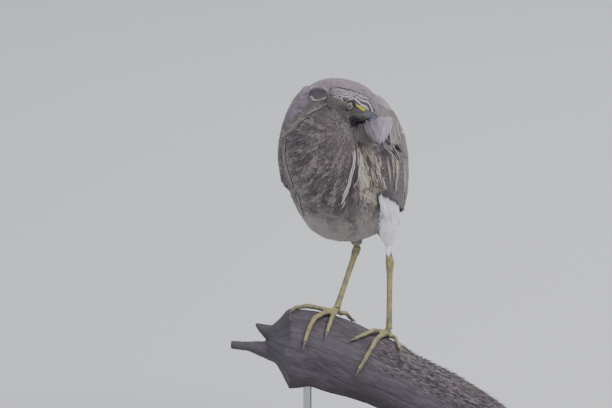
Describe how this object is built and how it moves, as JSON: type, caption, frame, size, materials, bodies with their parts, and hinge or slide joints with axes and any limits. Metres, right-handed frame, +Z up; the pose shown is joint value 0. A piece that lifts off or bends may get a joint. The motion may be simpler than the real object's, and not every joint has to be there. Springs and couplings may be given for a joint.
{
  "type": "pond heron",
  "caption": "Pond heron with its neck folded, preening its left shoulder while it grips a short cut length of driftwood on a plain display stand.",
  "frame": {"origin": "centre of the display stand's underside, on the floor", "axes": "+Z up; the breast faces -Y, turned 22 degrees towards -X, so the bird's left side is towards +X"},
  "size_m": [0.2503, 0.2038, 0.3884],
  "materials": {
    "mantle_feathers": "soft grey-brown body feathers",
    "breast_feathers": "streaked brown and buff feathers",
    "wing_feathers": "brown coverts with buff edges",
    "white_feathers": "soft white feathers",
    "leg_skin": "scaly yellow-green skin",
    "claw_horn": "dark horn",
    "bill_horn": "blue-grey horn with a dark tip",
    "eye": "wet yellow-green iris with a black pupil",
    "driftwood": "weathered dark bark and torn wood",
    "stained_wood": "dark stained, satin",
    "steel": "satin"
  },
  "bodies": {
    "root": {"trunk": "mantle_feathers", "neck": "breast_feathers", "head": "breast_feathers", "bill_upper": "bill_horn", "bill_lower": "bill_horn", "eye_left": "eye", "eye_right": "eye", "wing_left": "wing_feathers", "wing_right": "wing_feathers", "tail": "white_feathers", "thigh_left": "white_feathers", "thigh_right": "white_feathers", "leg_left": "leg_skin", "leg_right": "leg_skin", "foot_left": "leg_skin", "foot_right": "leg_skin", "claw_left_inner": "claw_horn", "claw_left_middle": "claw_horn", "claw_left_outer": "claw_horn", "claw_left_hind": "claw_horn", "claw_right_inner": "claw_horn", "claw_right_middle": "claw_horn", "claw_right_outer": "claw_horn", "claw_right_hind": "claw_horn", "perch": "driftwood", "stand_base": "stained_wood", "stand_rod_left": "steel", "stand_rod_right": "steel"}
  },
  "joints": []
}
